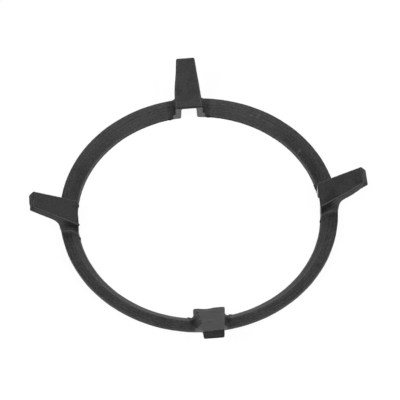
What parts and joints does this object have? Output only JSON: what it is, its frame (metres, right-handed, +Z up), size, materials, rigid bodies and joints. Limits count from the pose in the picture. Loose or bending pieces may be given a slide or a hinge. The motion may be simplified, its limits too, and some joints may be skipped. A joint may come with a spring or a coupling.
{
  "type": "wok stand",
  "caption": "Cast-iron wok stand: a low ring with sloping claws that cradle a round-bottomed wok, and notches that straddle the bars of a gas hob's pan support.",
  "frame": {"origin": "centre of the ring, on the plane that the stand rests on", "axes": "+Z up; +X and +Y along two neighbouring claws"},
  "size_m": [0.2448, 0.2448, 0.0354],
  "materials": {
    "cast_iron": "semi-matt black, fine cast grain"
  },
  "bodies": {
    "root": {"wok_stand": "cast_iron"}
  },
  "joints": []
}
